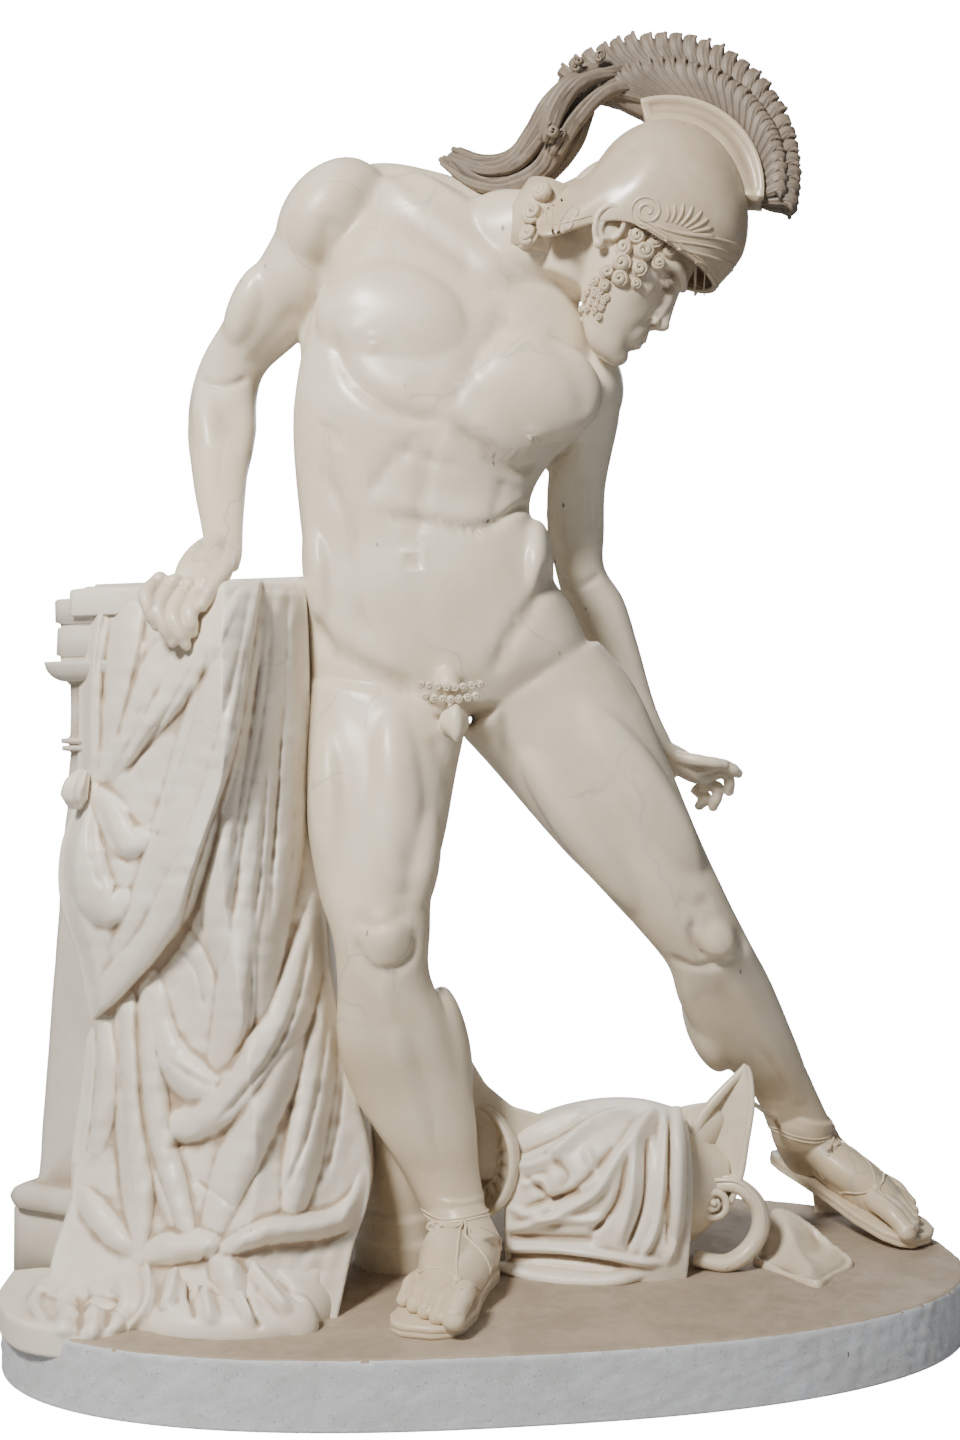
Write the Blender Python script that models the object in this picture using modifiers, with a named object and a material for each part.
"""Classical marble statue of a standing warrior with a crested helmet, leaning on a draped altar.

One block of marble: figure, altar, drapery, fallen jug and oval plinth are carved together.
Metres, +Z up. The plinth's long axis is X, and the front of the figure looks along -Y.
"""
import math

import bmesh
import bpy
import numpy as np
from mathutils import Matrix, Vector

# Driving sizes of the real object, in metres. FIGURE_HEIGHT is what the warrior measures standing straight.
FIGURE_HEIGHT = 1.98
PLINTH_LENGTH = 1.57
PLINTH_WIDTH = 0.82
PLINTH_THICK = 0.105
PLINTH_BLUNT = 2.4
ALTAR_TURN = math.radians(27)
ALTAR_CENTRE = (-0.5175, -0.03)
ALTAR_CORNICE = (0.18, 0.09)
ALTAR_NECK = (0.16, 0.075)
ALTAR_FOOT = (0.205, 0.10)
ALTAR_BLOCK = (0.25, 0.11)
HEAD_HEIGHT = 0.28
DOME_RADIUS = 0.121
CREST_HEIGHT = 0.037
PLUME_RADIUS = 0.256

# The front drawing shows figure and altar from this distance and eye height, at this figure height. It
# stands on the plinth's top and is turned this much from the plinth's long axis.
DRAWN_HEIGHT = 1.98
ALTAR_HEIGHT = 1.095
VIEW_DISTANCE = 2.8
EYE_HEIGHT = 0.873
VIEW_X = -0.022
VIEW_TURN = math.radians(8)

VOXEL = 0.0075
FACE_BUDGET = 8600


def place(x, h, v):
    """Point of the front drawing (x right, h above the plinth's top) at depth v behind its plane."""
    k = 1 + v / VIEW_DISTANCE
    return Vector((VIEW_X + (x - VIEW_X) * k, v, EYE_HEIGHT + (h - EYE_HEIGHT) * k))


def at(point):
    """Point given as ((x, h), v)."""
    return place(point[0][0], point[0][1], point[1])


def skin(bm, rings):
    """Closes a loft over rings that all hold the same number of points."""
    loops = [[bm.verts.new(p) for p in ring] for ring in rings]
    count = len(loops[0])
    for low, high in zip(loops, loops[1:]):
        for i in range(count):
            j = (i + 1) % count
            bm.faces.new((low[i], low[j], high[j], high[i]))
    bm.faces.new(list(reversed(loops[0])))
    bm.faces.new(loops[-1])


def limb(bm, sections, count=20, square=2.0):
    """Loft through the two outlines of a limb: each section is left, right, depth, front and back."""
    rings = []
    for left, right, depth, front, back in sections:
        a = place(*left, depth)
        b = place(*right, depth)
        centre = (a + b) / 2
        half = (b - a) / 2
        ring = []
        for i in range(count):
            angle = 2 * math.pi * i / count
            c, s = math.cos(angle), math.sin(angle)
            c = math.copysign(abs(c) ** (2 / square), c)
            s = math.copysign(abs(s) ** (2 / square), s)
            ring.append(centre + half * c + Vector((0, back if s > 0 else front, 0)) * s)
        rings.append(ring)
    first, last = rings[0], rings[-1]
    start = sum(first, Vector()) / count
    end = sum(last, Vector()) / count
    tip_a = start + (start - sum(rings[1], Vector()) / count) * 0.25
    tip_b = end + (end - sum(rings[-2], Vector()) / count) * 0.25
    rings.insert(0, [tip_a + (p - start) * 0.55 for p in first])
    rings.append([tip_b + (p - end) * 0.55 for p in last])
    skin(bm, rings)


def spindle(bm, a, b, width, depth, side=None, detail=3):
    """Ellipsoid from a to b: width across, depth along the view."""
    axis = b - a
    length = axis.length
    axis = axis.normalized()
    view = Vector((0, 1, 0)) if side is None else side
    view = (view - axis * view.dot(axis)).normalized()
    cross = view.cross(axis)
    frame = Matrix((axis * length / 2, cross * width, view * depth)).transposed().to_4x4()
    frame.translation = (a + b) / 2
    bmesh.ops.create_icosphere(bm, subdivisions=detail, radius=1, matrix=frame)


def muscle(bm, a, b, width, depth):
    """Ellipsoid between two points of the front drawing."""
    spindle(bm, at(a), at(b), width, depth)


def spline(points, count):
    """Catmull-Rom curve through points, as evenly numbered vectors."""
    pts = [Vector(p) for p in points]
    pts = [pts[0] * 2 - pts[1]] + pts + [pts[-1] * 2 - pts[-2]]
    out = []
    for i in range(count):
        t = i / (count - 1) * (len(pts) - 3)
        k = min(int(t), len(pts) - 4)
        t -= k
        a, b, c, d = pts[k:k + 4]
        out.append(0.5 * (2 * b + (c - a) * t + (2 * a - 5 * b + 4 * c - d) * t * t
                          + (3 * b - a - 3 * c + d) * t ** 3))
    return out


def tube(bm, points, radii, flat=1.0, count=8, steps=None, up=Vector((0, 1, 0))):
    """Round or flattened rope along points, with a radius for each of evenly spaced stations."""
    steps = steps or 4 * (len(points) - 1) + 1
    path = spline(points, steps)
    sizes = [np.interp(i / (steps - 1), np.linspace(0, 1, len(radii)), radii) for i in range(steps)]
    rings = []
    for i, p in enumerate(path):
        along = (path[min(i + 1, steps - 1)] - path[max(i - 1, 0)]).normalized()
        side = up.cross(along)
        if side.length < 0.2:
            side = Vector((1, 0, 0)).cross(along)
        side = side.normalized()
        other = along.cross(side)
        rings.append([p + side * sizes[i] * math.cos(q) + other * sizes[i] * flat * math.sin(q)
                      for q in [2 * math.pi * j / count for j in range(count)]])
    skin(bm, rings)


# The figure, each limb from its outlines in the front drawing
TORSO = (
    ((-0.299, 0.906), (0.110, 0.931), 0.02, 0.11, 0.12),
    ((-0.304, 0.964), (0.156, 1.005), 0.01, 0.125, 0.135),
    ((-0.304, 1.030), (0.127, 1.087), 0.0, 0.125, 0.12),
    ((-0.311, 1.104), (0.097, 1.132), -0.01, 0.12, 0.10),
    ((-0.314, 1.178), (0.089, 1.178), -0.015, 0.11, 0.09),
    ((-0.322, 1.252), (0.062, 1.228), -0.015, 0.11, 0.095),
    ((-0.329, 1.335), (0.065, 1.274), -0.01, 0.12, 0.11),
    ((-0.329, 1.417), (0.097, 1.327), -0.01, 0.13, 0.125),
    ((-0.314, 1.508), (0.140, 1.368), -0.005, 0.13, 0.135),
    ((-0.289, 1.599), (0.160, 1.426), 0.0, 0.115, 0.135),
    ((-0.261, 1.690), (0.166, 1.492), 0.005, 0.095, 0.12),
    ((-0.217, 1.769), (0.151, 1.561), 0.01, 0.07, 0.095),
    ((-0.129, 1.802), (0.110, 1.627), 0.01, 0.05, 0.07),
)
NECK = (
    ((-0.052, 1.748), (0.044, 1.591), 0.01, 0.07, 0.08),
    ((0.011, 1.772), (0.103, 1.594), -0.01, 0.068, 0.07),
    ((0.085, 1.769), (0.150, 1.591), -0.03, 0.066, 0.066),
    ((0.176, 1.762), (0.206, 1.597), -0.05, 0.07, 0.07),
)
RIGHT_LEG = (
    ((-0.304, 0.964), (-0.038, 0.911), -0.02, 0.095, 0.125),
    ((-0.309, 0.840), (-0.057, 0.828), -0.05, 0.10, 0.105),
    ((-0.307, 0.725), (-0.078, 0.713), -0.08, 0.092, 0.095),
    ((-0.288, 0.612), (-0.100, 0.621), -0.11, 0.08, 0.08),
    ((-0.265, 0.538), (-0.103, 0.551), -0.13, 0.07, 0.068),
    ((-0.258, 0.461), (-0.105, 0.477), -0.13, 0.06, 0.066),
    ((-0.258, 0.370), (-0.065, 0.390), -0.12, 0.055, 0.078),
    ((-0.236, 0.287), (-0.038, 0.307), -0.10, 0.05, 0.068),
    ((-0.185, 0.205), (-0.027, 0.225), -0.09, 0.043, 0.055),
    ((-0.141, 0.139), (-0.024, 0.155), -0.08, 0.038, 0.045),
    ((-0.114, 0.086), (-0.015, 0.096), -0.075, 0.04, 0.045),
)
LEFT_LEG = (
    ((-0.052, 0.873), (0.173, 1.030), 0.02, 0.105, 0.125),
    ((0.008, 0.807), (0.235, 0.951), 0.02, 0.10, 0.11),
    ((0.090, 0.710), (0.291, 0.824), 0.02, 0.09, 0.10),
    ((0.179, 0.617), (0.341, 0.703), 0.02, 0.078, 0.085),
    ((0.245, 0.545), (0.384, 0.609), 0.025, 0.07, 0.072),
    ((0.288, 0.492), (0.420, 0.538), 0.04, 0.062, 0.064),
    ((0.305, 0.436), (0.453, 0.477), 0.075, 0.055, 0.07),
    ((0.341, 0.370), (0.486, 0.403), 0.12, 0.05, 0.072),
    ((0.387, 0.324), (0.513, 0.333), 0.165, 0.044, 0.06),
    ((0.432, 0.277), (0.536, 0.277), 0.21, 0.038, 0.048),
    ((0.458, 0.221), (0.557, 0.228), 0.245, 0.038, 0.042),
)
RIGHT_ARM = (
    ((-0.350, 1.719), (-0.233, 1.653), 0.03, 0.065, 0.07),
    ((-0.392, 1.644), (-0.279, 1.584), 0.05, 0.062, 0.065),
    ((-0.441, 1.561), (-0.317, 1.528), 0.08, 0.055, 0.058),
    ((-0.481, 1.495), (-0.375, 1.475), 0.10, 0.045, 0.05),
    ((-0.500, 1.432), (-0.390, 1.426), 0.11, 0.045, 0.05),
    ((-0.504, 1.373), (-0.390, 1.373), 0.09, 0.046, 0.046),
    ((-0.497, 1.294), (-0.405, 1.297), 0.03, 0.04, 0.04),
    ((-0.482, 1.220), (-0.413, 1.224), -0.05, 0.03, 0.03),
    ((-0.474, 1.175), (-0.415, 1.173), -0.10, 0.025, 0.027),
)
LEFT_ARM = (
    ((0.103, 1.422), (0.212, 1.459), 0.03, 0.06, 0.07),
    ((0.103, 1.360), (0.206, 1.380), 0.05, 0.055, 0.06),
    ((0.090, 1.290), (0.186, 1.290), 0.09, 0.048, 0.052),
    ((0.087, 1.215), (0.184, 1.208), 0.125, 0.044, 0.046),
    ((0.100, 1.152), (0.184, 1.149), 0.14, 0.044, 0.046),
    ((0.120, 1.079), (0.216, 1.096), 0.15, 0.044, 0.044),
    ((0.166, 0.989), (0.242, 1.010), 0.16, 0.036, 0.036),
    ((0.222, 0.889), (0.268, 0.918), 0.17, 0.026, 0.026),
    ((0.262, 0.828), (0.295, 0.858), 0.17, 0.022, 0.024),
)
# Muscles: two ends ((x, h), depth), half width and half depth
MUSCLES = (
    (((-0.289, 1.591), -0.07), ((-0.042, 1.505), -0.10), 0.098, 0.052),
    (((-0.052, 1.472), -0.10), ((0.179, 1.419), -0.07), 0.088, 0.052),
    (((-0.075, 1.417), -0.075), ((-0.114, 1.162), -0.07), 0.075, 0.05),
    (((-0.114, 1.195), -0.075), ((-0.075, 0.947), -0.075), 0.082, 0.05),
    (((-0.289, 1.252), 0.0), ((-0.265, 1.013), -0.01), 0.036, 0.10),
    (((0.070, 1.228), 0.0), ((0.061, 1.046), -0.01), 0.034, 0.10),
    (((-0.270, 1.079), 0.045), ((-0.174, 0.790), 0.045), 0.092, 0.095),
    (((-0.022, 1.030), 0.055), ((0.151, 0.815), 0.055), 0.090, 0.095),
    (((-0.245, 1.698), 0.075), ((-0.270, 1.393), 0.075), 0.062, 0.055),
    (((0.110, 1.541), 0.085), ((0.097, 1.310), 0.075), 0.058, 0.052),
    (((-0.170, 1.343), 0.065), ((-0.154, 1.063), 0.065), 0.042, 0.045),
    (((-0.038, 1.343), 0.065), ((-0.063, 1.063), 0.065), 0.042, 0.045),
    (((-0.236, 0.931), 0.0), ((-0.200, 0.601), -0.06), 0.055, 0.055),
    (((0.110, 0.815), 0.06), ((0.295, 0.576), 0.05), 0.05, 0.055),
    (((-0.336, 1.644), 0.02), ((-0.200, 1.809), 0.03), 0.078, 0.088),
    (((0.169, 1.376), 0.03), ((0.160, 1.516), 0.03), 0.052, 0.075),
    (((-0.236, 1.797), 0.06), ((0.061, 1.698), 0.05), 0.05, 0.055),
    (((-0.372, 1.653), 0.03), ((-0.431, 1.508), 0.07), 0.036, 0.045),
    (((-0.476, 1.459), 0.10), ((-0.458, 1.294), 0.04), 0.032, 0.035),
    (((-0.270, 0.898), -0.08), ((-0.245, 0.601), -0.13), 0.045, 0.055),
    (((-0.167, 0.931), -0.10), ((-0.167, 0.593), -0.17), 0.05, 0.045),
    (((-0.113, 0.782), -0.09), ((-0.134, 0.568), -0.15), 0.036, 0.05),
    (((-0.180, 0.593), -0.18), ((-0.177, 0.493), -0.175), 0.036, 0.03),
    (((-0.088, 0.461), -0.09), ((-0.052, 0.254), -0.07), 0.032, 0.055),
    (((-0.233, 0.477), -0.10), ((-0.200, 0.254), -0.08), 0.03, 0.045),
    (((0.127, 0.947), -0.06), ((0.341, 0.634), -0.02), 0.05, 0.045),
    (((0.044, 0.865), -0.05), ((0.258, 0.576), -0.01), 0.045, 0.045),
    (((0.341, 0.576), -0.015), ((0.390, 0.498), 0.0), 0.036, 0.036),
    (((0.324, 0.461), 0.12), ((0.377, 0.320), 0.17), 0.034, 0.055),
    (((-0.095, 0.947), -0.115), ((-0.052, 0.960), -0.115), 0.028, 0.025),
    (((-0.091, 0.901), -0.125), ((-0.038, 0.889), -0.125), 0.026, 0.032),
    (((-0.063, 0.931), -0.14), ((-0.060, 0.857), -0.15), 0.014, 0.018),
)


def figure(bm):
    """Trunk, neck, arms and legs without hands, feet and head."""
    limb(bm, TORSO, 28, 2.3)
    limb(bm, NECK, 20)
    limb(bm, RIGHT_LEG, 20)
    limb(bm, LEFT_LEG, 20)
    limb(bm, RIGHT_ARM, 18)
    limb(bm, LEFT_ARM, 18)
    for a, b, width, depth in MUSCLES:
        muscle(bm, a, b, width, depth)


def foot(bm, heel, toe, ankle, width, lift):
    """Sandalled foot: sole, heel, instep and five toes, from heel to toe along the ground."""
    along = (toe - heel).normalized()
    flat = Vector((along.x, along.y, 0)).normalized()
    side = Vector((flat.y, -flat.x, 0))
    up = side.cross(along).normalized()
    length = (toe - heel).length
    sole = []
    for t, w, shift in ((0.0, 0.28, 0), (0.08, 0.62, 0), (0.3, 0.66, 0.02), (0.5, 0.78, 0.03),
                        (0.7, 1.0, 0.03), (0.88, 0.98, 0.04), (0.97, 0.72, 0.06), (1.0, 0.4, 0.08)):
        p = heel + along * length * t + side * width * shift
        half = side * width * w / 2
        sole.append([p - half - up * 0.001, p + half - up * 0.001, p + half + up * 0.018,
                     p - half + up * 0.018])
    skin(bm, sole)
    base = heel + up * 0.018
    spindle(bm, base + up * 0.03 + along * length * 0.02, base + up * 0.03 + along * length * 0.32,
            width * 0.3, 0.045, up)
    spindle(bm, base + up * 0.045 + along * length * 0.1, base + up * 0.012 + along * length * 0.86,
            width * 0.36, 0.036, up)
    spindle(bm, ankle - up * 0.01, base + up * 0.02 + along * length * 0.72, width * 0.3, 0.034, up)
    spindle(bm, ankle + up * 0.04 - along * 0.01, base + up * 0.0 + along * length * 0.16,
            width * 0.26, 0.038, along)
    for i, (reach, thick) in enumerate(((0.98, 0.019), (0.95, 0.0145), (0.9, 0.014), (0.84, 0.0135),
                                        (0.77, 0.013))):
        offset = side * width * (-0.36 + 0.19 * i + (0.03 if i else 0)) * lift
        root = base + along * length * (reach - 0.24) + offset * 0.86 + up * 0.026
        knuckle = base + along * length * (reach - 0.10) + offset + up * 0.024
        tip = base + along * length * reach + offset + up * 0.011
        tube(bm, (root, knuckle, tip), (thick, thick, thick * 0.85), up=up)
        spindle(bm, tip - along * thick, tip + along * thick * 0.8, thick * 0.92, thick * 0.85, up, 2)


def feet(bm):
    """Both feet on the plinth, the left heel raised on a small block left in the marble."""
    heel = Vector((-0.016, -0.045, 0))
    toe = Vector((-0.105, -0.345, 0))
    foot(bm, heel, toe, place(*(-0.068, 0.079), -0.075), 0.125, 1)
    heel = Vector((0.53, 0.36, 0.085))
    toe = Vector((0.735, 0.095, 0.004))
    foot(bm, heel, toe, place(*(0.506, 0.221), 0.25), 0.125, -1)
    spindle(bm, Vector((0.58, 0.30, -0.03)), Vector((0.56, 0.315, 0.10)), 0.035, 0.04)


def finger(bm, points, thick):
    """A finger through its joints, with a rounded tip."""
    tube(bm, points, (thick * 1.05, thick, thick, thick * 0.8), count=8)
    tip = Vector(points[-1])
    bmesh.ops.create_icosphere(bm, subdivisions=2, radius=thick * 0.88, matrix=Matrix.Translation(tip))


def hands(bm):
    """Right hand over the altar's edge, left hand held out with curled fingers."""
    spindle(bm, place(*(-0.441, 1.195), -0.09), place(*(-0.520, 1.116), -0.175), 0.034, 0.024)
    spindle(bm, place(*(-0.459, 1.182), -0.11), place(*(-0.484, 1.096), -0.19), 0.032, 0.024)
    for knuckle, joint, tip in (((-0.547, 1.132), (-0.570, 1.112), (-0.573, 1.076)),
                                ((-0.527, 1.125), (-0.550, 1.086), (-0.545, 1.040)),
                                ((-0.504, 1.119), (-0.522, 1.073), (-0.515, 1.022)),
                                ((-0.479, 1.122), (-0.497, 1.086), (-0.494, 1.043))):
        finger(bm, (place(*knuckle, -0.165), place(*joint, -0.205), place(*tip, -0.215)), 0.0125)
    thumb = (((-0.441, 1.162), -0.12), ((-0.461, 1.132), -0.19), ((-0.479, 1.096), -0.215))
    finger(bm, [at(p) for p in thumb], 0.0135)
    spindle(bm, place(*(0.267, 0.858), 0.17), place(*(0.354, 0.795), 0.17), 0.024, 0.034)
    for root, joint, tip, v in (((0.341, 0.812), (0.374, 0.822), (0.404, 0.809), 0.15),
                                ((0.348, 0.802), (0.381, 0.809), (0.387, 0.782), 0.17),
                                ((0.341, 0.792), (0.367, 0.786), (0.361, 0.756), 0.19),
                                ((0.331, 0.789), (0.348, 0.772), (0.338, 0.759), 0.205)):
        finger(bm, (place(*root, v), place(*joint, v - 0.01), place(*tip, v)), 0.0115)
    thumb = (((0.308, 0.835), 0.14), ((0.348, 0.828), 0.125), ((0.377, 0.825), 0.13))
    finger(bm, [at(p) for p in thumb], 0.0115)


# Head frame: from the ear axis, x forward, y to the figure's left, z up
HEAD_PITCH = math.radians(39.3)
HEAD_YAW = math.radians(8)
HEAD_AT = ((0.197, 1.673), -0.06)
DOME_AT = Vector((0.011, 0, 0.118))


def head_frame():
    """Matrix from the head's own frame to the view frame."""
    forward = Vector((math.cos(HEAD_PITCH) * math.cos(HEAD_YAW), -math.sin(HEAD_YAW),
                      -math.sin(HEAD_PITCH) * math.cos(HEAD_YAW)))
    up = Vector((math.sin(HEAD_PITCH), 0, math.cos(HEAD_PITCH)))
    left = up.cross(forward).normalized()
    up = forward.cross(left)
    frame = Matrix((forward, left, up)).transposed().to_4x4()
    frame.translation = at(HEAD_AT)
    return frame


def head_point(frame, x, y, z):
    """Point of the head's frame, in shares of the head's height, in the view frame."""
    return frame @ (Vector((x, y, z)) * HEAD_HEIGHT)


def head(bm):
    """Skull, face, helmet, crest, plume and curls."""
    frame = head_frame()
    across = frame.to_3x3() @ Vector((0, 1, 0))

    def part(a, b, width, depth, detail=3):
        start = head_point(frame, *a)
        end = head_point(frame, *b)
        spindle(bm, start, end, width * HEAD_HEIGHT, depth * HEAD_HEIGHT, across, detail)

    part((-0.36, 0, 0.10), (0.37, 0, 0.10), 0.38, 0.30)
    part((0.18, 0, 0.36), (0.26, 0, -0.30), 0.17, 0.245)
    part((0.05, 0, -0.22), (0.37, 0, -0.36), 0.10, 0.17)
    part((0.23, 0, -0.40), (0.36, 0, -0.42), 0.06, 0.10)
    part((0.34, -0.16, 0.10), (0.34, 0.16, 0.10), 0.07, 0.09, 2)
    part((0.38, 0, 0.10), (0.49, 0, -0.16), 0.035, 0.04, 2)
    part((0.41, -0.055, -0.19), (0.41, 0.055, -0.19), 0.035, 0.05, 2)
    part((0.38, -0.09, -0.275), (0.38, 0.09, -0.275), 0.03, 0.035, 2)
    for s in (-1, 1):
        part((-0.03, 0.30 * s, 0.08), (-0.04, 0.30 * s, -0.13), 0.065, 0.035, 2)
        part((0.27, 0.20 * s, -0.02), (0.27, 0.20 * s, -0.10), 0.09, 0.06, 2)
    helmet(bm, frame)
    plume(bm, frame)
    curls(bm, frame)


def helmet(bm, frame):
    """Dome with its brim, neck guard and crest holder."""
    rings = []
    stations = 24
    for i in range(9):
        polar = math.radians(12 + 90 * i / 8)
        ring = []
        for j in range(stations):
            q = 2 * math.pi * j / stations
            c, s = math.cos(q), math.sin(q)
            out = Vector((c * math.sin(polar), s * math.sin(polar) * 0.92, math.cos(polar)))
            ring.append(frame @ (DOME_AT + out * DOME_RADIUS))
        rings.append(ring)
    for level, front, back, wide, low_front, low_back in (
            (0.5, 0.138, -0.112, 0.108, 0.078, 0.060),
            (1.0, 0.160, -0.118, 0.104, 0.052, 0.018)):
        ring = []
        for j in range(stations):
            q = 2 * math.pi * j / stations
            c, s = math.cos(q), math.sin(q)
            x = (front if c > 0 else -back) * c
            z = low_back + (low_front - low_back) * (c + 1) / 2
            ring.append(frame @ Vector((x, s * wide, z)))
        rings.append(ring)
    skin(bm, rings)
    guard = []
    for back, low, wide in ((-0.112, 0.06, 0.085), (-0.125, 0.02, 0.088), (-0.148, -0.006, 0.092)):
        ring = []
        for j in range(17):
            q = math.pi * (0.5 + j / 16)
            flare = 0.055 * math.sin(q) ** 2 if low < 0.05 else 0
            ring.append(Vector((-back * math.cos(q), wide * math.sin(q), low - flare)))
        inner = [Vector((p.x * 0.86, p.y * 0.86, p.z)) for p in reversed(ring)]
        guard.append([frame @ p for p in ring + inner])
    skin(bm, guard)
    holder = []
    for i in range(15):
        q = math.radians(30 + 114 * i / 14)
        out = Vector((math.cos(q), 0, math.sin(q)))
        wide = 0.026
        low = DOME_AT + out * (DOME_RADIUS - 0.02)
        top = DOME_AT + out * (DOME_RADIUS + CREST_HEIGHT)
        step = Vector((0, wide, 0))
        holder.append([frame @ p for p in (low - step, low + step, top + step, top - step)])
    skin(bm, holder)


def plume(bm, frame):
    """Two rows of locks that fan out of the crest holder, and the long tail down the back."""
    side = frame.to_3x3() @ Vector((0, 1, 0))
    centre = DOME_AT + Vector((-0.038, 0, 0.016))
    root = DOME_RADIUS + CREST_HEIGHT - 0.012
    rows = ((21, 1.0, 0.0, 0.0165), (20, 0.66, 0.5, 0.0155))
    for count, share, shift, thick in rows:
        for i in range(count):
            q = math.radians(23 + 152 * (i + shift) / 21)
            start_q = math.radians(32 + 112 * (i + shift) / 21)
            start = DOME_AT + Vector((math.cos(start_q), 0, math.sin(start_q))) * root
            end = centre + Vector((math.cos(q), 0, math.sin(q))) * (PLUME_RADIUS - 0.016)
            end = start + (end - start) * share
            bend = Vector((-math.sin(q), 0, math.cos(q))) * 0.012
            for y in (-0.016, 0.016):
                wide = Vector((0, y * (1.25 if share < 1 else 0.8), 0))
                middle = (start + end) / 2 + wide * 0.3 + bend
                path = [frame @ (p + wide) for p in (start, middle, end)]
                tube(bm, path, (0.012, thick, thick * 0.95, 0.011), count=8, up=side)
    fill = []
    for i in range(13):
        q = math.radians(28 + 142 * i / 12)
        sq = math.radians(34 + 108 * i / 12)
        start = DOME_AT + Vector((math.cos(sq), 0, math.sin(sq))) * (root - 0.01)
        end = centre + Vector((math.cos(q), 0, math.sin(q))) * (PLUME_RADIUS - 0.02)
        step = Vector((0, 0.020, 0))
        fill.append([frame @ p for p in (start - step, start + step, end + step * 0.8, end - step * 0.8)])
    skin(bm, fill)
    tails = (
        (((0.255, 1.941), -0.07), ((0.184, 1.941), -0.07), ((0.133, 1.891), -0.06),
         ((0.103, 1.838), -0.05)),
        (((0.217, 1.970), -0.08), ((0.143, 1.954), -0.08), ((0.103, 1.908), -0.07),
         ((0.090, 1.855), -0.06)),
        (((0.226, 1.947), -0.06), ((0.160, 1.934), -0.05), ((0.113, 1.875), -0.04),
         ((0.085, 1.813), -0.02),
         ((0.028, 1.784), 0.0), ((-0.029, 1.789), 0.02), ((-0.078, 1.822), 0.04)),
        (((0.176, 1.983), -0.06), ((0.110, 1.929), -0.05), ((0.074, 1.871), -0.03),
         ((0.037, 1.822), -0.01),
         ((-0.009, 1.812), 0.02), ((-0.063, 1.832), 0.05)),
        (((0.151, 1.904), -0.03), ((0.118, 1.838), -0.01), ((0.069, 1.789), 0.02), ((0.003, 1.779), 0.04),
         ((-0.047, 1.802), 0.06)),
    )
    for path in tails:
        tube(bm, [at(p) for p in path], (0.020, 0.024, 0.022, 0.012), count=8)


def curls(bm, frame):
    """Curls of hair before the ears and at the nape."""
    for s in (-1, 1):
        for x, z, r in ((0.07, 0.03, 0.017), (0.085, 0.0, 0.017), (0.06, -0.02, 0.016),
                        (0.045, -0.05, 0.015), (0.03, -0.075, 0.014)):
            p = frame @ Vector((x, (0.074 + z * 0.1) * s, z))
            bmesh.ops.create_icosphere(bm, subdivisions=2, radius=r, matrix=Matrix.Translation(p))
    for x, z, r in ((-0.152, -0.015, 0.022), (-0.135, -0.045, 0.023), (-0.108, -0.075, 0.022)):
        for y in (-0.07, -0.035, 0, 0.035, 0.07):
            p = frame @ Vector((x * (1 - abs(y) * 2), y * 1.1, z))
            bmesh.ops.create_icosphere(bm, subdivisions=2, radius=r, matrix=Matrix.Translation(p))


def altar_corner(half, sx, sy, z):
    """Corner of the altar's turned plan."""
    x, y = half[0] * sx, half[1] * sy
    c, s = math.cos(-ALTAR_TURN), math.sin(-ALTAR_TURN)
    return Vector((ALTAR_CENTRE[0] + x * c - y * s, ALTAR_CENTRE[1] + x * s + y * c, z))


def altar(bm):
    """Moulded pillar: block, torus, tapering shaft, two fillets, ovolo and cornice."""
    def grown(half, extra):
        return (half[0] + extra, half[1] + extra)
    top = ALTAR_HEIGHT
    torus = 0.122
    levels = [(ALTAR_BLOCK, -0.02), (ALTAR_BLOCK, 0.10), (grown(ALTAR_BLOCK, -0.012), 0.102)]
    for i in range(6):
        q = math.pi * (i / 5 - 0.5)
        levels.append((grown(ALTAR_FOOT, 0.018 + 0.014 * math.cos(q)), torus + 0.02 * math.sin(q)))
    levels += [(ALTAR_FOOT, 0.145), (ALTAR_NECK, top - 0.250), (grown(ALTAR_NECK, 0.010), top - 0.247),
               (grown(ALTAR_NECK, 0.010), top - 0.225), (grown(ALTAR_NECK, 0.002), top - 0.222),
               (ALTAR_NECK, top - 0.140)]
    for i in range(6):
        q = math.pi / 2 * i / 5
        levels.append((grown(ALTAR_NECK, 0.004 + 0.026 * math.sin(q)), top - 0.103 - 0.032 * math.cos(q)))
    levels += [(grown(ALTAR_CORNICE, -0.006), top - 0.093), (grown(ALTAR_CORNICE, -0.006), top - 0.045),
               (ALTAR_CORNICE, top - 0.039), (ALTAR_CORNICE, top)]
    rings = [[altar_corner(half, sx, sy, z) for sx, sy in ((-1, -1), (1, -1), (1, 1), (-1, 1))]
             for half, z in levels]
    skin(bm, rings)


def plinth(bm):
    """Oval slab with blunt ends."""
    count = 72
    rings = []
    for z, inset in ((0, 0.006), (0.006, 0), (PLINTH_THICK - 0.006, 0), (PLINTH_THICK, 0.006)):
        ring = []
        for i in range(count):
            q = 2 * math.pi * i / count
            c, s = math.cos(q), math.sin(q)
            x = (PLINTH_LENGTH / 2 - inset) * math.copysign(abs(c) ** (2 / PLINTH_BLUNT), c)
            y = (PLINTH_WIDTH / 2 - inset) * math.copysign(abs(s) ** (2 / PLINTH_BLUNT), s)
            ring.append(Vector((x, y, z)))
        rings.append(ring)
    skin(bm, rings)


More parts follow.
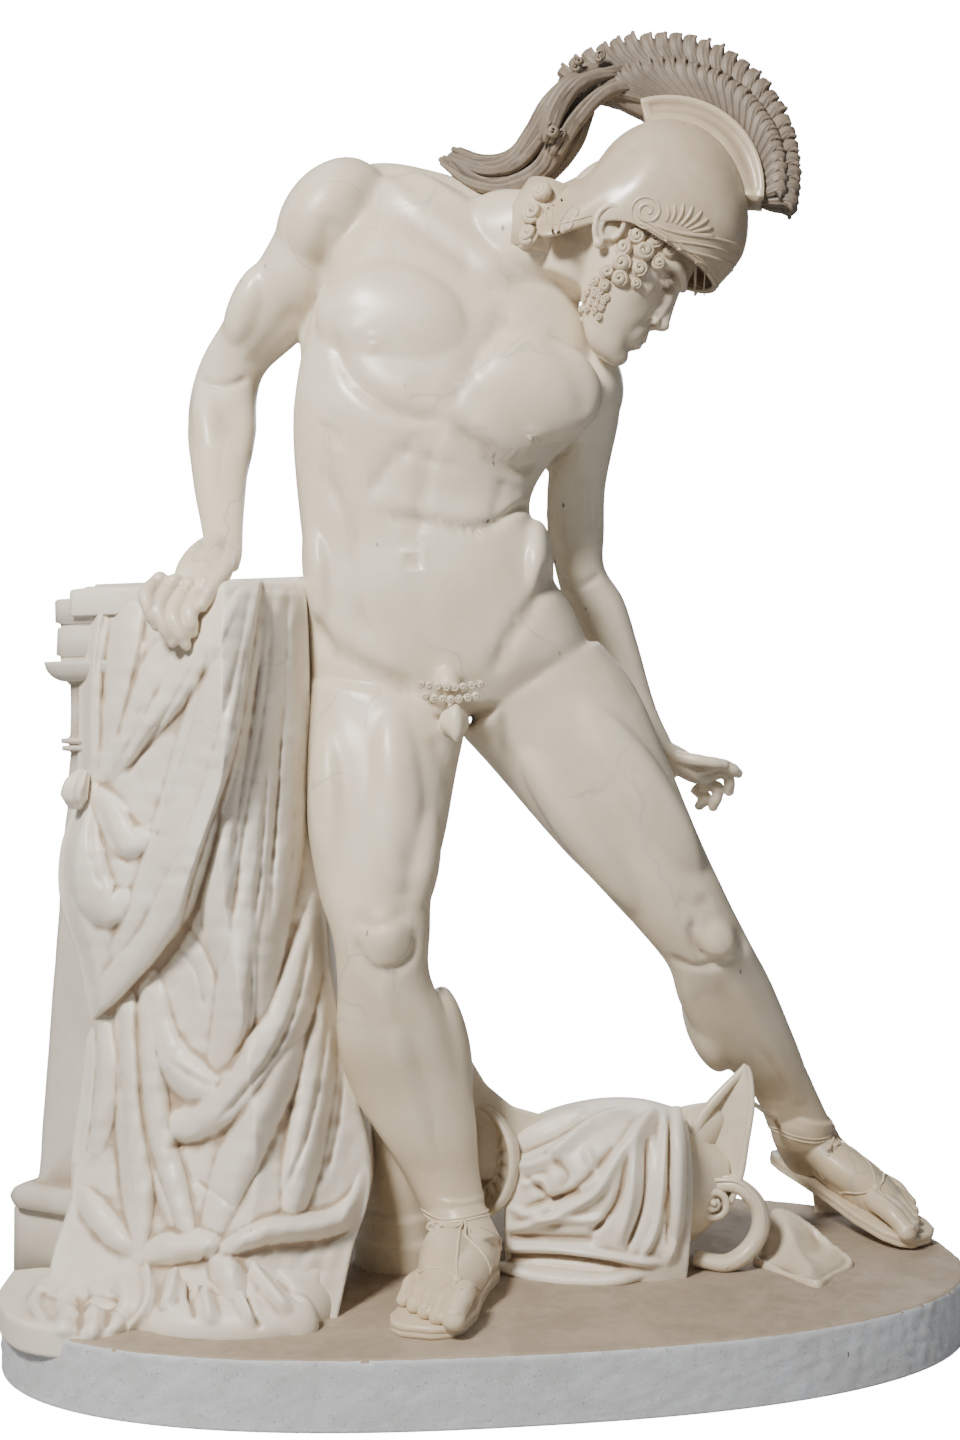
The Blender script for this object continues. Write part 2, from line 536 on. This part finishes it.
# Drapery on the altar: left edge, right edge, and depths at the left, at the altar's near corner and right
CLOTH = (
    ((-0.656, 1.122), (-0.312, 1.135), 0.02, -0.180, -0.02),
    ((-0.669, 1.096), (-0.309, 1.109), -0.035, -0.210, -0.07),
    ((-0.682, 0.997), (-0.306, 0.997), -0.045, -0.215, -0.075),
    ((-0.685, 0.865), (-0.301, 0.865), -0.05, -0.215, -0.075),
    ((-0.692, 0.766), (-0.296, 0.766), -0.05, -0.215, -0.075),
    ((-0.715, 0.683), (-0.286, 0.683), -0.055, -0.22, -0.075),
    ((-0.715, 0.601), (-0.278, 0.601), -0.06, -0.22, -0.08),
    ((-0.685, 0.502), (-0.270, 0.502), -0.065, -0.225, -0.085),
    ((-0.672, 0.419), (-0.258, 0.419), -0.07, -0.23, -0.09),
    ((-0.677, 0.320), (-0.236, 0.320), -0.075, -0.235, -0.10),
    ((-0.695, 0.188), (-0.207, 0.188), -0.085, -0.25, -0.13),
    ((-0.699, 0.106), (-0.207, 0.106), -0.11, -0.265, -0.17),
    ((-0.725, 0.023), (-0.233, 0.023), -0.14, -0.28, -0.22),
    ((-0.741, -0.059), (-0.260, -0.101), -0.17, -0.30, -0.27),
)
NEAR_CORNER = 0.62
# Rounded folds: line in the front drawing, half width, height
FOLDS = (
    (((-0.410, 1.102), (-0.477, 1.005), (-0.567, 0.906), (-0.636, 0.812)), 0.016, 0.022),
    (((-0.438, 1.089), (-0.542, 0.964), (-0.606, 0.865), (-0.646, 0.807)), 0.014, 0.018),
    (((-0.533, 1.030), (-0.583, 0.931), (-0.629, 0.832)), 0.014, 0.018),
    (((-0.596, 1.109), (-0.606, 1.013), (-0.619, 0.914), (-0.646, 0.815)), 0.015, 0.016),
    (((-0.646, 1.109), (-0.669, 0.997), (-0.672, 0.898), (-0.659, 0.807)), 0.014, 0.018),
    (((-0.659, 0.782), (-0.629, 0.741), (-0.603, 0.696), (-0.560, 0.716)), 0.014, 0.016),
    (((-0.675, 0.766), (-0.675, 0.667), (-0.642, 0.593), (-0.590, 0.601)), 0.018, 0.018),
    (((-0.408, 1.099), (-0.441, 0.984), (-0.477, 0.861), (-0.507, 0.753), (-0.550, 0.634),
     (-0.613, 0.518)), 0.022, 0.030),
    (((-0.392, 1.099), (-0.408, 0.984), (-0.436, 0.861), (-0.474, 0.746), (-0.517, 0.634),
     (-0.567, 0.535), (-0.649, 0.436)), 0.020, 0.034),
    (((-0.372, 1.096), (-0.388, 0.947), (-0.413, 0.815), (-0.438, 0.683), (-0.448, 0.568),
     (-0.431, 0.461)), 0.018, 0.024),
    (((-0.352, 1.096), (-0.365, 0.898), (-0.388, 0.683), (-0.405, 0.535), (-0.428, 0.406),
     (-0.458, 0.307)), 0.020, 0.028),
    (((-0.326, 1.096), (-0.336, 0.865), (-0.352, 0.667), (-0.382, 0.502), (-0.375, 0.386)), 0.018, 0.024),
    (((-0.283, 0.601), (-0.329, 0.436), (-0.375, 0.350), (-0.474, 0.244), (-0.557, 0.225)), 0.020, 0.030),
    (((-0.567, 0.477), (-0.547, 0.360), (-0.500, 0.307), (-0.458, 0.287), (-0.408, 0.320)), 0.018, 0.024),
    (((-0.326, 0.413), (-0.345, 0.330), (-0.385, 0.249), (-0.428, 0.155), (-0.471, 0.040)), 0.018, 0.024),
    (((-0.270, 0.461), (-0.296, 0.287), (-0.314, 0.178), (-0.334, 0.069)), 0.016, 0.022),
    (((-0.606, 0.449), (-0.600, 0.337), (-0.593, 0.221), (-0.585, 0.122), (-0.586, 0.023)), 0.015, 0.028),
    (((-0.567, 0.461), (-0.570, 0.353), (-0.558, 0.230), (-0.530, 0.119), (-0.500, 0.033)), 0.015, 0.026),
    (((-0.639, 0.386), (-0.639, 0.304), (-0.656, 0.188)), 0.014, 0.020),
    (((-0.669, 0.386), (-0.675, 0.287), (-0.689, 0.180)), 0.012, 0.018),
    (((-0.207, 0.152), (-0.227, 0.096), (-0.276, 0.066), (-0.375, 0.053), (-0.458, 0.017)), 0.012, 0.026),
    (((-0.458, 0.017), (-0.428, -0.039), (-0.398, -0.096)), 0.014, 0.022),
    (((-0.583, 0.013), (-0.530, 0.027), (-0.477, 0.033), (-0.458, 0.017)), 0.014, 0.024),
    (((-0.682, 0.122), (-0.642, 0.069), (-0.596, 0.023)), 0.012, 0.020),
)
# Layer of cloth that hangs over the rest, from the knot at the left to the tip below
SWAG = ((-0.651, 1.129), (-0.382, 1.129), (-0.402, 0.997), (-0.418, 0.891), (-0.439, 0.807), (-0.472, 0.716),
        (-0.500, 0.634), (-0.520, 0.555), (-0.567, 0.493), (-0.623, 0.432), (-0.662, 0.403),
        (-0.675, 0.452), (-0.689, 0.510), (-0.712, 0.559), (-0.722, 0.634), (-0.708, 0.708),
        (-0.695, 0.782), (-0.692, 0.865), (-0.689, 0.997), (-0.672, 1.089))
SWAG_RISE = 0.022


def ease(t):
    """Smooth step from 0 to 1."""
    t = np.clip(t, 0, 1)
    return t * t * (3 - 2 * t)


def inside(flat, outline):
    """True for each point of the drawing that lies within a closed outline."""
    crossings = np.zeros(len(flat), dtype=int)
    for a, b in zip(outline, outline[1:] + outline[:1]):
        above = (a[1] > flat[:, 1]) != (b[1] > flat[:, 1])
        rise = b[1] - a[1] or 1e-9
        crossings += above & (flat[:, 0] < a[0] + (flat[:, 1] - a[1]) * (b[0] - a[0]) / rise)
    return crossings % 2 == 1


def relief(flat):
    """Height of the drapery's folds at points of the front drawing."""
    high = np.zeros(len(flat))
    for line, width, height in FOLDS:
        near = distance(flat, smooth_line(line)) / width
        high = np.maximum(high, height * np.clip(1 - near ** 2, 0, 1) ** 0.7)
    edge = distance(flat, SWAG + SWAG[:1]) * np.where(inside(flat, SWAG), 1, -1)
    return high + SWAG_RISE * ease(0.5 + edge / 0.010)


def cloth(bm):
    """Drapery over the altar's front and side: a slab whose front carries the folds."""
    across, down = 48, 96
    table = np.array([(*left, *right, *depths) for left, right, *depths in CLOTH])
    level = np.linspace(0, len(CLOTH) - 1, down + 1)
    rows = np.stack([np.interp(level, np.arange(len(CLOTH)), column) for column in table.T], axis=1)
    share = np.linspace(0, 1, across + 1)
    rings = []
    for x0, h0, x1, h1, v_left, v_mid, v_right in rows:
        x = x0 + (x1 - x0) * share
        h = h0 + (h1 - h0) * share
        right = np.clip((share - NEAR_CORNER) / (1 - NEAR_CORNER), 0, 1) ** 1.3
        v = np.where(share < NEAR_CORNER, v_left + (v_mid - v_left) * share / NEAR_CORNER,
                     v_mid + (v_right - v_mid) * right)
        high = relief(np.stack((x, h), axis=1)) * ease(share * 12) * ease((1 - share) * 12)
        front = [place(*p) for p in zip(x, h, v + 0.012 - high)]
        back = [place(*p) for p in zip(x[::-1], h[::-1], v[::-1] + 0.09)]
        rings.append(front + back)
    skin(bm, rings)
    corners = ((-0.72, -1), (0.2, -1), (1, -1), (1, 0.2), (1, 1), (0.2, 1), (-0.72, 1))
    half = (ALTAR_CORNICE[0] + 0.010, ALTAR_CORNICE[1] + 0.012)
    skin(bm, [[altar_corner(half, sx, sy, ALTAR_HEIGHT + z) for sx, sy in corners] for z in (-0.03, 0.015)])
    muscle(bm, ((-0.679, 0.815), -0.075), ((-0.689, 0.753), -0.075), 0.018, 0.022)


def ground_cloth(bm):
    """Heaps and ends of cloth on the plinth."""
    for a, b, width, height in (
            ((-0.62, -0.18), (-0.42, -0.29), 0.07, 0.055),
            ((-0.46, -0.24), (-0.24, -0.22), 0.085, 0.075),
            ((-0.52, -0.29), (-0.28, -0.305), 0.05, 0.040),
            ((-0.40, -0.26), (-0.26, -0.31), 0.04, 0.055),
            ((-0.72, -0.10), (-0.57, -0.24), 0.055, 0.026)):
        start = Vector((*a, 0.005))
        end = Vector((*b, 0.005))
        spindle(bm, start, end, width, height, Vector((0, 0, 1)))
    turn_up(bm, [(-0.775, -0.07), (-0.70, -0.06), (-0.56, -0.14), (-0.54, -0.30), (-0.60, -0.345),
                 (-0.70, -0.31), (-0.762, -0.20)], -0.032, 0.014)


# Marble left between the right calf and the jug, and between the jug's spout and the left shin
CALF_WEB = ((-0.105, 0.139), (-0.105, 0.353), (-0.052, 0.363), (-0.012, 0.297), (0.031, 0.261),
            (0.090, 0.244), (0.110, 0.139))
SHIN_WEB = ((0.404, 0.304), (0.483, 0.284), (0.489, 0.241), (0.420, 0.261))
# The jug's spout: left and right point of each section, depth and half thickness
SPOUT = (
    ((0.318, 0.122), (0.377, 0.081), 0.04, 0.05),
    ((0.321, 0.163), (0.387, 0.130), 0.04, 0.05),
    ((0.331, 0.205), (0.404, 0.180), 0.04, 0.045),
    ((0.361, 0.254), (0.419, 0.230), 0.04, 0.036),
    ((0.390, 0.295), (0.425, 0.274), 0.04, 0.024),
    ((0.410, 0.327), (0.422, 0.317), 0.04, 0.01),
)
HANDLE = ((0.341, 0.106), (0.361, 0.129), (0.404, 0.122), (0.433, 0.081), (0.427, 0.031),
          (0.387, 0.000), (0.324, 0.010))


def web(bm, outline, v, thick):
    """Marble left standing between two forms: a closed outline of the front drawing, with a thickness."""
    skin(bm, [[place(x, h, v + side * thick / 2) for x, h in outline] for side in (-1, 1)])


def turn_up(bm, points, z_low, z_high):
    """Flat flap of cloth from a closed outline on the ground."""
    skin(bm, [[Vector((x, y, z_low)) for x, y in points], [Vector((x, y, z_high)) for x, y in points]])


# Jug lying behind the legs, its axis roughly along X
JUG_AXIS = (Vector((0.03, 0.07, 0.115)), Vector((0.43, 0.05, 0.13)))
JUG_PROFILE = ((-0.04, 0.085), (-0.03, 0.098), (-0.015, 0.098), (0.0, 0.06), (0.02, 0.045), (0.05, 0.07),
               (0.10, 0.105), (0.17, 0.122), (0.24, 0.12), (0.30, 0.10), (0.34, 0.07), (0.37, 0.055),
               (0.43, 0.05))


def jug(bm):
    """Turned body of the jug, with its spout lip, volute handle and the cloth over it."""
    web(bm, CALF_WEB, 0.03, 0.04)
    web(bm, SHIN_WEB, 0.14, 0.05)
    muscle(bm, ((-0.154, 0.221), 0.0), ((-0.179, -0.043), -0.02), 0.045, 0.07)
    start, end = JUG_AXIS
    axis = (end - start).normalized()
    side = Vector((0, 0, 1)).cross(axis).normalized()
    up = axis.cross(side)
    rings = [[start + axis * t + (side * math.cos(q) + up * math.sin(q)) * r
              for q in [2 * math.pi * i / 20 for i in range(20)]] for t, r in JUG_PROFILE]
    skin(bm, rings)
    cover = []
    for left, depth, r, drop in (((0.019, 0.122), 0.06, 0.085, 0.0), ((0.077, 0.139), 0.055, 0.11, 0.0),
                                 ((0.160, 0.142), 0.05, 0.13, 0.0), ((0.242, 0.139), 0.05, 0.135, 0.0),
                                 ((0.315, 0.135), 0.05, 0.12, 0.0)):
        centre = place(*left, depth)
        ring = []
        for i in range(20):
            q = 2 * math.pi * i / 20
            c, s = math.cos(q), math.sin(q)
            spread = 1 + 0.35 * max(0, -s)
            p = centre + Vector((0, c * r * spread, s * r))
            p.z = max(p.z, -0.01)
            ring.append(p)
        cover.append(ring)
    skin(bm, cover)
    hem = (((0.160, 0.003), -0.06), ((0.242, -0.010), -0.08), ((0.308, -0.006), -0.07))
    tube(bm, [at(p) for p in hem], (0.012, 0.018, 0.012))
    lip = []
    for left, right, depth, thick in SPOUT:
        a, b = place(*left, depth), place(*right, depth)
        half = (b - a) / 2
        lip.append([(a + b) / 2 + half * math.cos(q) + Vector((0, thick, 0)) * math.sin(q)
                    for q in [2 * math.pi * i / 12 for i in range(12)]])
    skin(bm, lip)
    ring = [place(*p, 0.0) for p in HANDLE]
    tube(bm, ring, (0.014, 0.015, 0.013), flat=1.6)
    eye = (0.367, 0.101)
    spindle(bm, place(*eye, -0.02), place(*eye, 0.05), 0.026, 0.026, Vector((0, 0, 1)))
    turn_up(bm, [(0.40, 0.03), (0.47, -0.06), (0.56, -0.075), (0.60, -0.01), (0.50, 0.07)],
            -0.005, 0.016)


# Strokes that finish the carving: points in the front drawing, half width, height (minus cuts in)
STROKES = (
    (((0.032, 1.591), (-0.012, 1.525), (-0.052, 1.459), (-0.075, 1.409)), 0.012, -0.010),
    (((-0.075, 1.406), (-0.105, 1.335), (-0.118, 1.261), (-0.131, 1.162), (-0.114, 1.063),
     (-0.088, 0.984)), 0.010, -0.006),
    (((-0.266, 1.558), (-0.256, 1.508), (-0.230, 1.459), (-0.177, 1.416), (-0.121, 1.396),
     (-0.075, 1.403)), 0.013, -0.012),
    (((-0.075, 1.403), (-0.038, 1.363), (0.011, 1.325), (0.054, 1.307), (0.097, 1.327),
     (0.140, 1.360)), 0.013, -0.012),
    (((-0.200, 1.238), (-0.105, 1.224), (-0.047, 1.213), (-0.002, 1.221), (0.047, 1.248)), 0.009, -0.009),
    (((-0.286, 1.330), (-0.260, 1.277), (-0.233, 1.220), (-0.233, 1.162), (-0.220, 1.079),
     (-0.200, 1.022)), 0.012, -0.009),
    (((-0.299, 1.076), (-0.270, 1.020), (-0.227, 0.993), (-0.170, 0.967),
     (-0.124, 0.941)), 0.010, -0.010),
    (((0.103, 1.162), (0.074, 1.099), (0.028, 1.033), (-0.005, 0.964)), 0.012, -0.011),
    (((-0.154, 1.347), (-0.108, 1.330), (-0.052, 1.310)), 0.008, -0.004),
    (((-0.212, 1.813), (-0.134, 1.752), (-0.063, 1.703), (-0.005, 1.647), (0.028, 1.611)), 0.010, 0.008),
    (((-0.147, 1.162), (-0.121, 1.155)), 0.006, -0.014),
    (((-0.200, 0.489), (-0.167, 0.472), (-0.138, 0.489)), 0.008, -0.008),
)
BACK_STROKES = (
    (((0.019, 1.673), (-0.063, 1.508), (-0.101, 1.294), (-0.108, 1.096), (-0.088, 0.931)), 0.016, -0.016),
    (((-0.108, 1.030), (-0.091, 0.898), (-0.072, 0.815)), 0.016, -0.020),
    (((-0.154, 1.607), (-0.179, 1.525), (-0.245, 1.450)), 0.016, -0.010),
    (((0.044, 1.525), (0.044, 1.442), (0.110, 1.376)), 0.016, -0.010),
)
CLOTH_STROKES = (
    (((0.037, 0.139), (0.110, 0.056), (0.193, -0.006)), 0.010, 0.014),
    (((0.110, 0.238), (0.160, 0.139), (0.242, 0.003)), 0.010, 0.014),
    (((0.226, 0.271), (0.242, 0.139), (0.288, 0.003)), 0.010, 0.014),
    (((0.267, 0.271), (0.288, 0.139), (0.305, 0.007)), 0.008, 0.012),
    (((0.176, 0.254), (0.196, 0.122), (0.258, -0.003)), 0.006, -0.012),
)


def drawing(points):
    """Front drawing coordinates of an array of points."""
    k = 1 + points[:, 1] / VIEW_DISTANCE
    x = VIEW_X + (points[:, 0] - VIEW_X) / k
    h = EYE_HEIGHT + (points[:, 2] - EYE_HEIGHT) / k
    return np.stack((x, h), axis=1)


def distance(flat, line):
    """Distance of each point of the drawing from an open line."""
    best = np.full(len(flat), 9.0)
    for a, b in zip(line, line[1:]):
        a = np.array(a)
        b = np.array(b)
        t = np.clip(((flat - a) @ (b - a)) / ((b - a) @ (b - a)), 0, 1)
        best = np.minimum(best, np.linalg.norm(flat - a - t[:, None] * (b - a), axis=1))
    return best


def smooth_line(line):
    """The same line, rounded."""
    points = spline([(x, h, 0) for x, h in line], 6 * (len(line) - 1) + 1)
    return [(p.x, p.y) for p in points]


def carve(mesh, strokes, side=-1):
    """Moves the surface on one side, front or back, along its normal by each stroke's height."""
    count = len(mesh.vertices)
    points = np.empty(count * 3)
    mesh.vertices.foreach_get("co", points)
    points = points.reshape(-1, 3)
    normals = np.array([n.vector for n in mesh.vertex_normals])
    facing = np.clip((normals[:, 1] * side - 0.05) / 0.4, 0, 1)
    flat = drawing(points)
    shift = np.zeros(count)
    for line, width, height in strokes:
        near = distance(flat, smooth_line(line))
        shift += height * np.exp(-(near / width) ** 2)
    moved = points + normals * (shift * facing)[:, None]
    mesh.vertices.foreach_set("co", moved.ravel())
    mesh.update()


def new_object(name, collection, build, material):
    """Mesh object from a function that fills a bmesh, in the row's frame."""
    bm = bmesh.new()
    build(bm)
    bmesh.ops.recalc_face_normals(bm, faces=bm.faces)
    mesh = bpy.data.meshes.new(name)
    bm.to_mesh(mesh)
    bm.free()
    mesh.materials.append(material)
    obj = bpy.data.objects.new(name, mesh)
    collection.objects.link(obj)
    return obj


def marble(name, colour):
    """Honed marble."""
    material = bpy.data.materials.new(name)
    material.use_nodes = True
    shader = material.node_tree.nodes["Principled BSDF"]
    shader.inputs["Base Color"].default_value = (*colour, 1)
    shader.inputs["Roughness"].default_value = 0.4
    return material


def stand():
    """Matrix that scales the drawing to the figure's height and stands it on the plinth, turned to it."""
    return (Matrix.Translation((0, 0, PLINTH_THICK)) @ Matrix.Rotation(-VIEW_TURN, 4, "Z")
            @ Matrix.Scale(FIGURE_HEIGHT / DRAWN_HEIGHT, 4))


def baked(obj):
    """Mesh of an object with its modifiers applied."""
    graph = bpy.context.evaluated_depsgraph_get()
    return bpy.data.meshes.new_from_object(obj.evaluated_get(graph))


def one_body(mesh):
    """Leaves only the largest connected body of a mesh, without faces that have no area."""
    bm = bmesh.new()
    bm.from_mesh(mesh)
    bmesh.ops.dissolve_degenerate(bm, dist=1e-6, edges=bm.edges)
    bmesh.ops.triangulate(bm, faces=bm.faces)
    bodies = []
    left = set(bm.verts)
    while left:
        body = set()
        front = {left.pop()}
        while front:
            body |= front
            front = {e.other_vert(v) for v in front for e in v.link_edges} - body
        left -= body
        bodies.append(body)
    largest = max(bodies, key=len)
    bmesh.ops.delete(bm, geom=[v for body in bodies if body is not largest for v in body], context="VERTS")
    bm.to_mesh(mesh)
    bm.free()


def carving(bm):
    """All soft forms of the statue."""
    figure(bm)
    feet(bm)
    hands(bm)
    head(bm)
    cloth(bm)
    ground_cloth(bm)
    jug(bm)


def main():
    for old in list(bpy.data.objects):
        bpy.data.objects.remove(old)
    scene = bpy.context.scene
    parts = bpy.data.collections.new("statue")
    helpers = bpy.data.collections.new("helpers")
    scene.collection.children.link(parts)
    scene.collection.children.link(helpers)
    stone = marble("marble", (0.80, 0.76, 0.69))

    soft = new_object("soft_forms", helpers, carving, stone)
    remesh = soft.modifiers.new("blend", "REMESH")
    remesh.mode = "VOXEL"
    remesh.voxel_size = VOXEL
    smooth = soft.modifiers.new("soften", "SMOOTH")
    smooth.factor = 0.5
    smooth.iterations = 8
    mesh = baked(soft)
    bpy.data.objects.remove(soft)
    carve(mesh, STROKES + CLOTH_STROKES)
    carve(mesh, BACK_STROKES, 1)
    return mesh, parts, helpers, stone


def finish(mesh, parts, helpers, stone):
    """Thins the carved forms and joins them with the plinth and the altar."""
    statue = bpy.data.objects.new("marble_statue", mesh)
    parts.objects.link(statue)
    mesh.materials.clear()
    mesh.materials.append(stone)
    thin = statue.modifiers.new("thin", "DECIMATE")
    triangles = sum(len(p.vertices) - 2 for p in mesh.polygons)
    thin.ratio = FACE_BUDGET / triangles
    thin.use_collapse_triangulate = True
    for name, build, matrix in (("altar_form", altar, stand()), ("plinth_form", plinth, Matrix())):
        helper = new_object(name, helpers, build, stone)
        helper.data.transform(matrix)
        helper.hide_render = True
        helper.display_type = "WIRE"
        union = statue.modifiers.new(name, "BOOLEAN")
        union.operation = "UNION"
        union.solver = "EXACT"
        union.object = helper
    mesh.transform(stand())
    joined = baked(statue)
    one_body(joined)
    statue.modifiers.clear()
    statue.data = joined


finish(*main())
